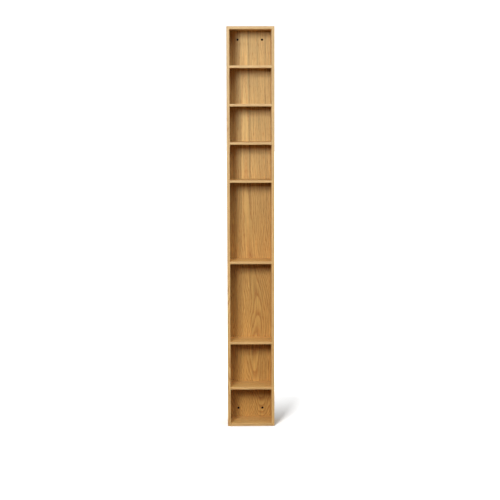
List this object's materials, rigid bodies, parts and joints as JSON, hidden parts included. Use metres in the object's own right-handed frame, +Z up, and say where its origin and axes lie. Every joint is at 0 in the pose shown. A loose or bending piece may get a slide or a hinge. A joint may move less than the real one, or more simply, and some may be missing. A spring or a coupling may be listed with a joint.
{
  "type": "open wall shelf cabinet",
  "caption": "Tall, narrow open shelf cabinet in oak with fixed shelves, a full back panel and wall-fixing holes.",
  "frame": {"origin": "on the floor, under the middle of the cabinet", "axes": "+X to the right seen from the front, +Y from the front to the back, +Z up"},
  "size_m": [0.2, 0.14, 1.7],
  "materials": {
    "oak_veneer": "matt lacquered oak veneer",
    "oak_lipping": "matt lacquered solid oak",
    "black_plastic": "matt moulded",
    "beech": "raw turned beech",
    "birch_plywood": "raw birch plywood",
    "zinc_plated_steel": "bright zinc-plated"
  },
  "bodies": {
    "root": {"left_side": "oak_veneer", "right_side": "oak_veneer", "top_panel": "oak_veneer", "bottom_panel": "oak_veneer", "back_panel": "oak_veneer", "shelf_1": "oak_veneer", "shelf_2": "oak_veneer", "shelf_3": "oak_veneer", "shelf_4": "oak_veneer", "shelf_5": "oak_veneer", "shelf_6": "oak_veneer", "shelf_7": "oak_veneer", "left_side_lipping": "oak_lipping", "right_side_lipping": "oak_lipping", "top_lipping": "oak_lipping", "bottom_lipping": "oak_lipping", "shelf_1_lipping": "oak_lipping", "shelf_2_lipping": "oak_lipping", "shelf_3_lipping": "oak_lipping", "shelf_4_lipping": "oak_lipping", "shelf_5_lipping": "oak_lipping", "shelf_6_lipping": "oak_lipping", "shelf_7_lipping": "oak_lipping", "hole_plugs": "black_plastic", "shelf_dowels": "beech", "corner_tongues": "birch_plywood", "back_screws": "zinc_plated_steel"}
  },
  "joints": []
}
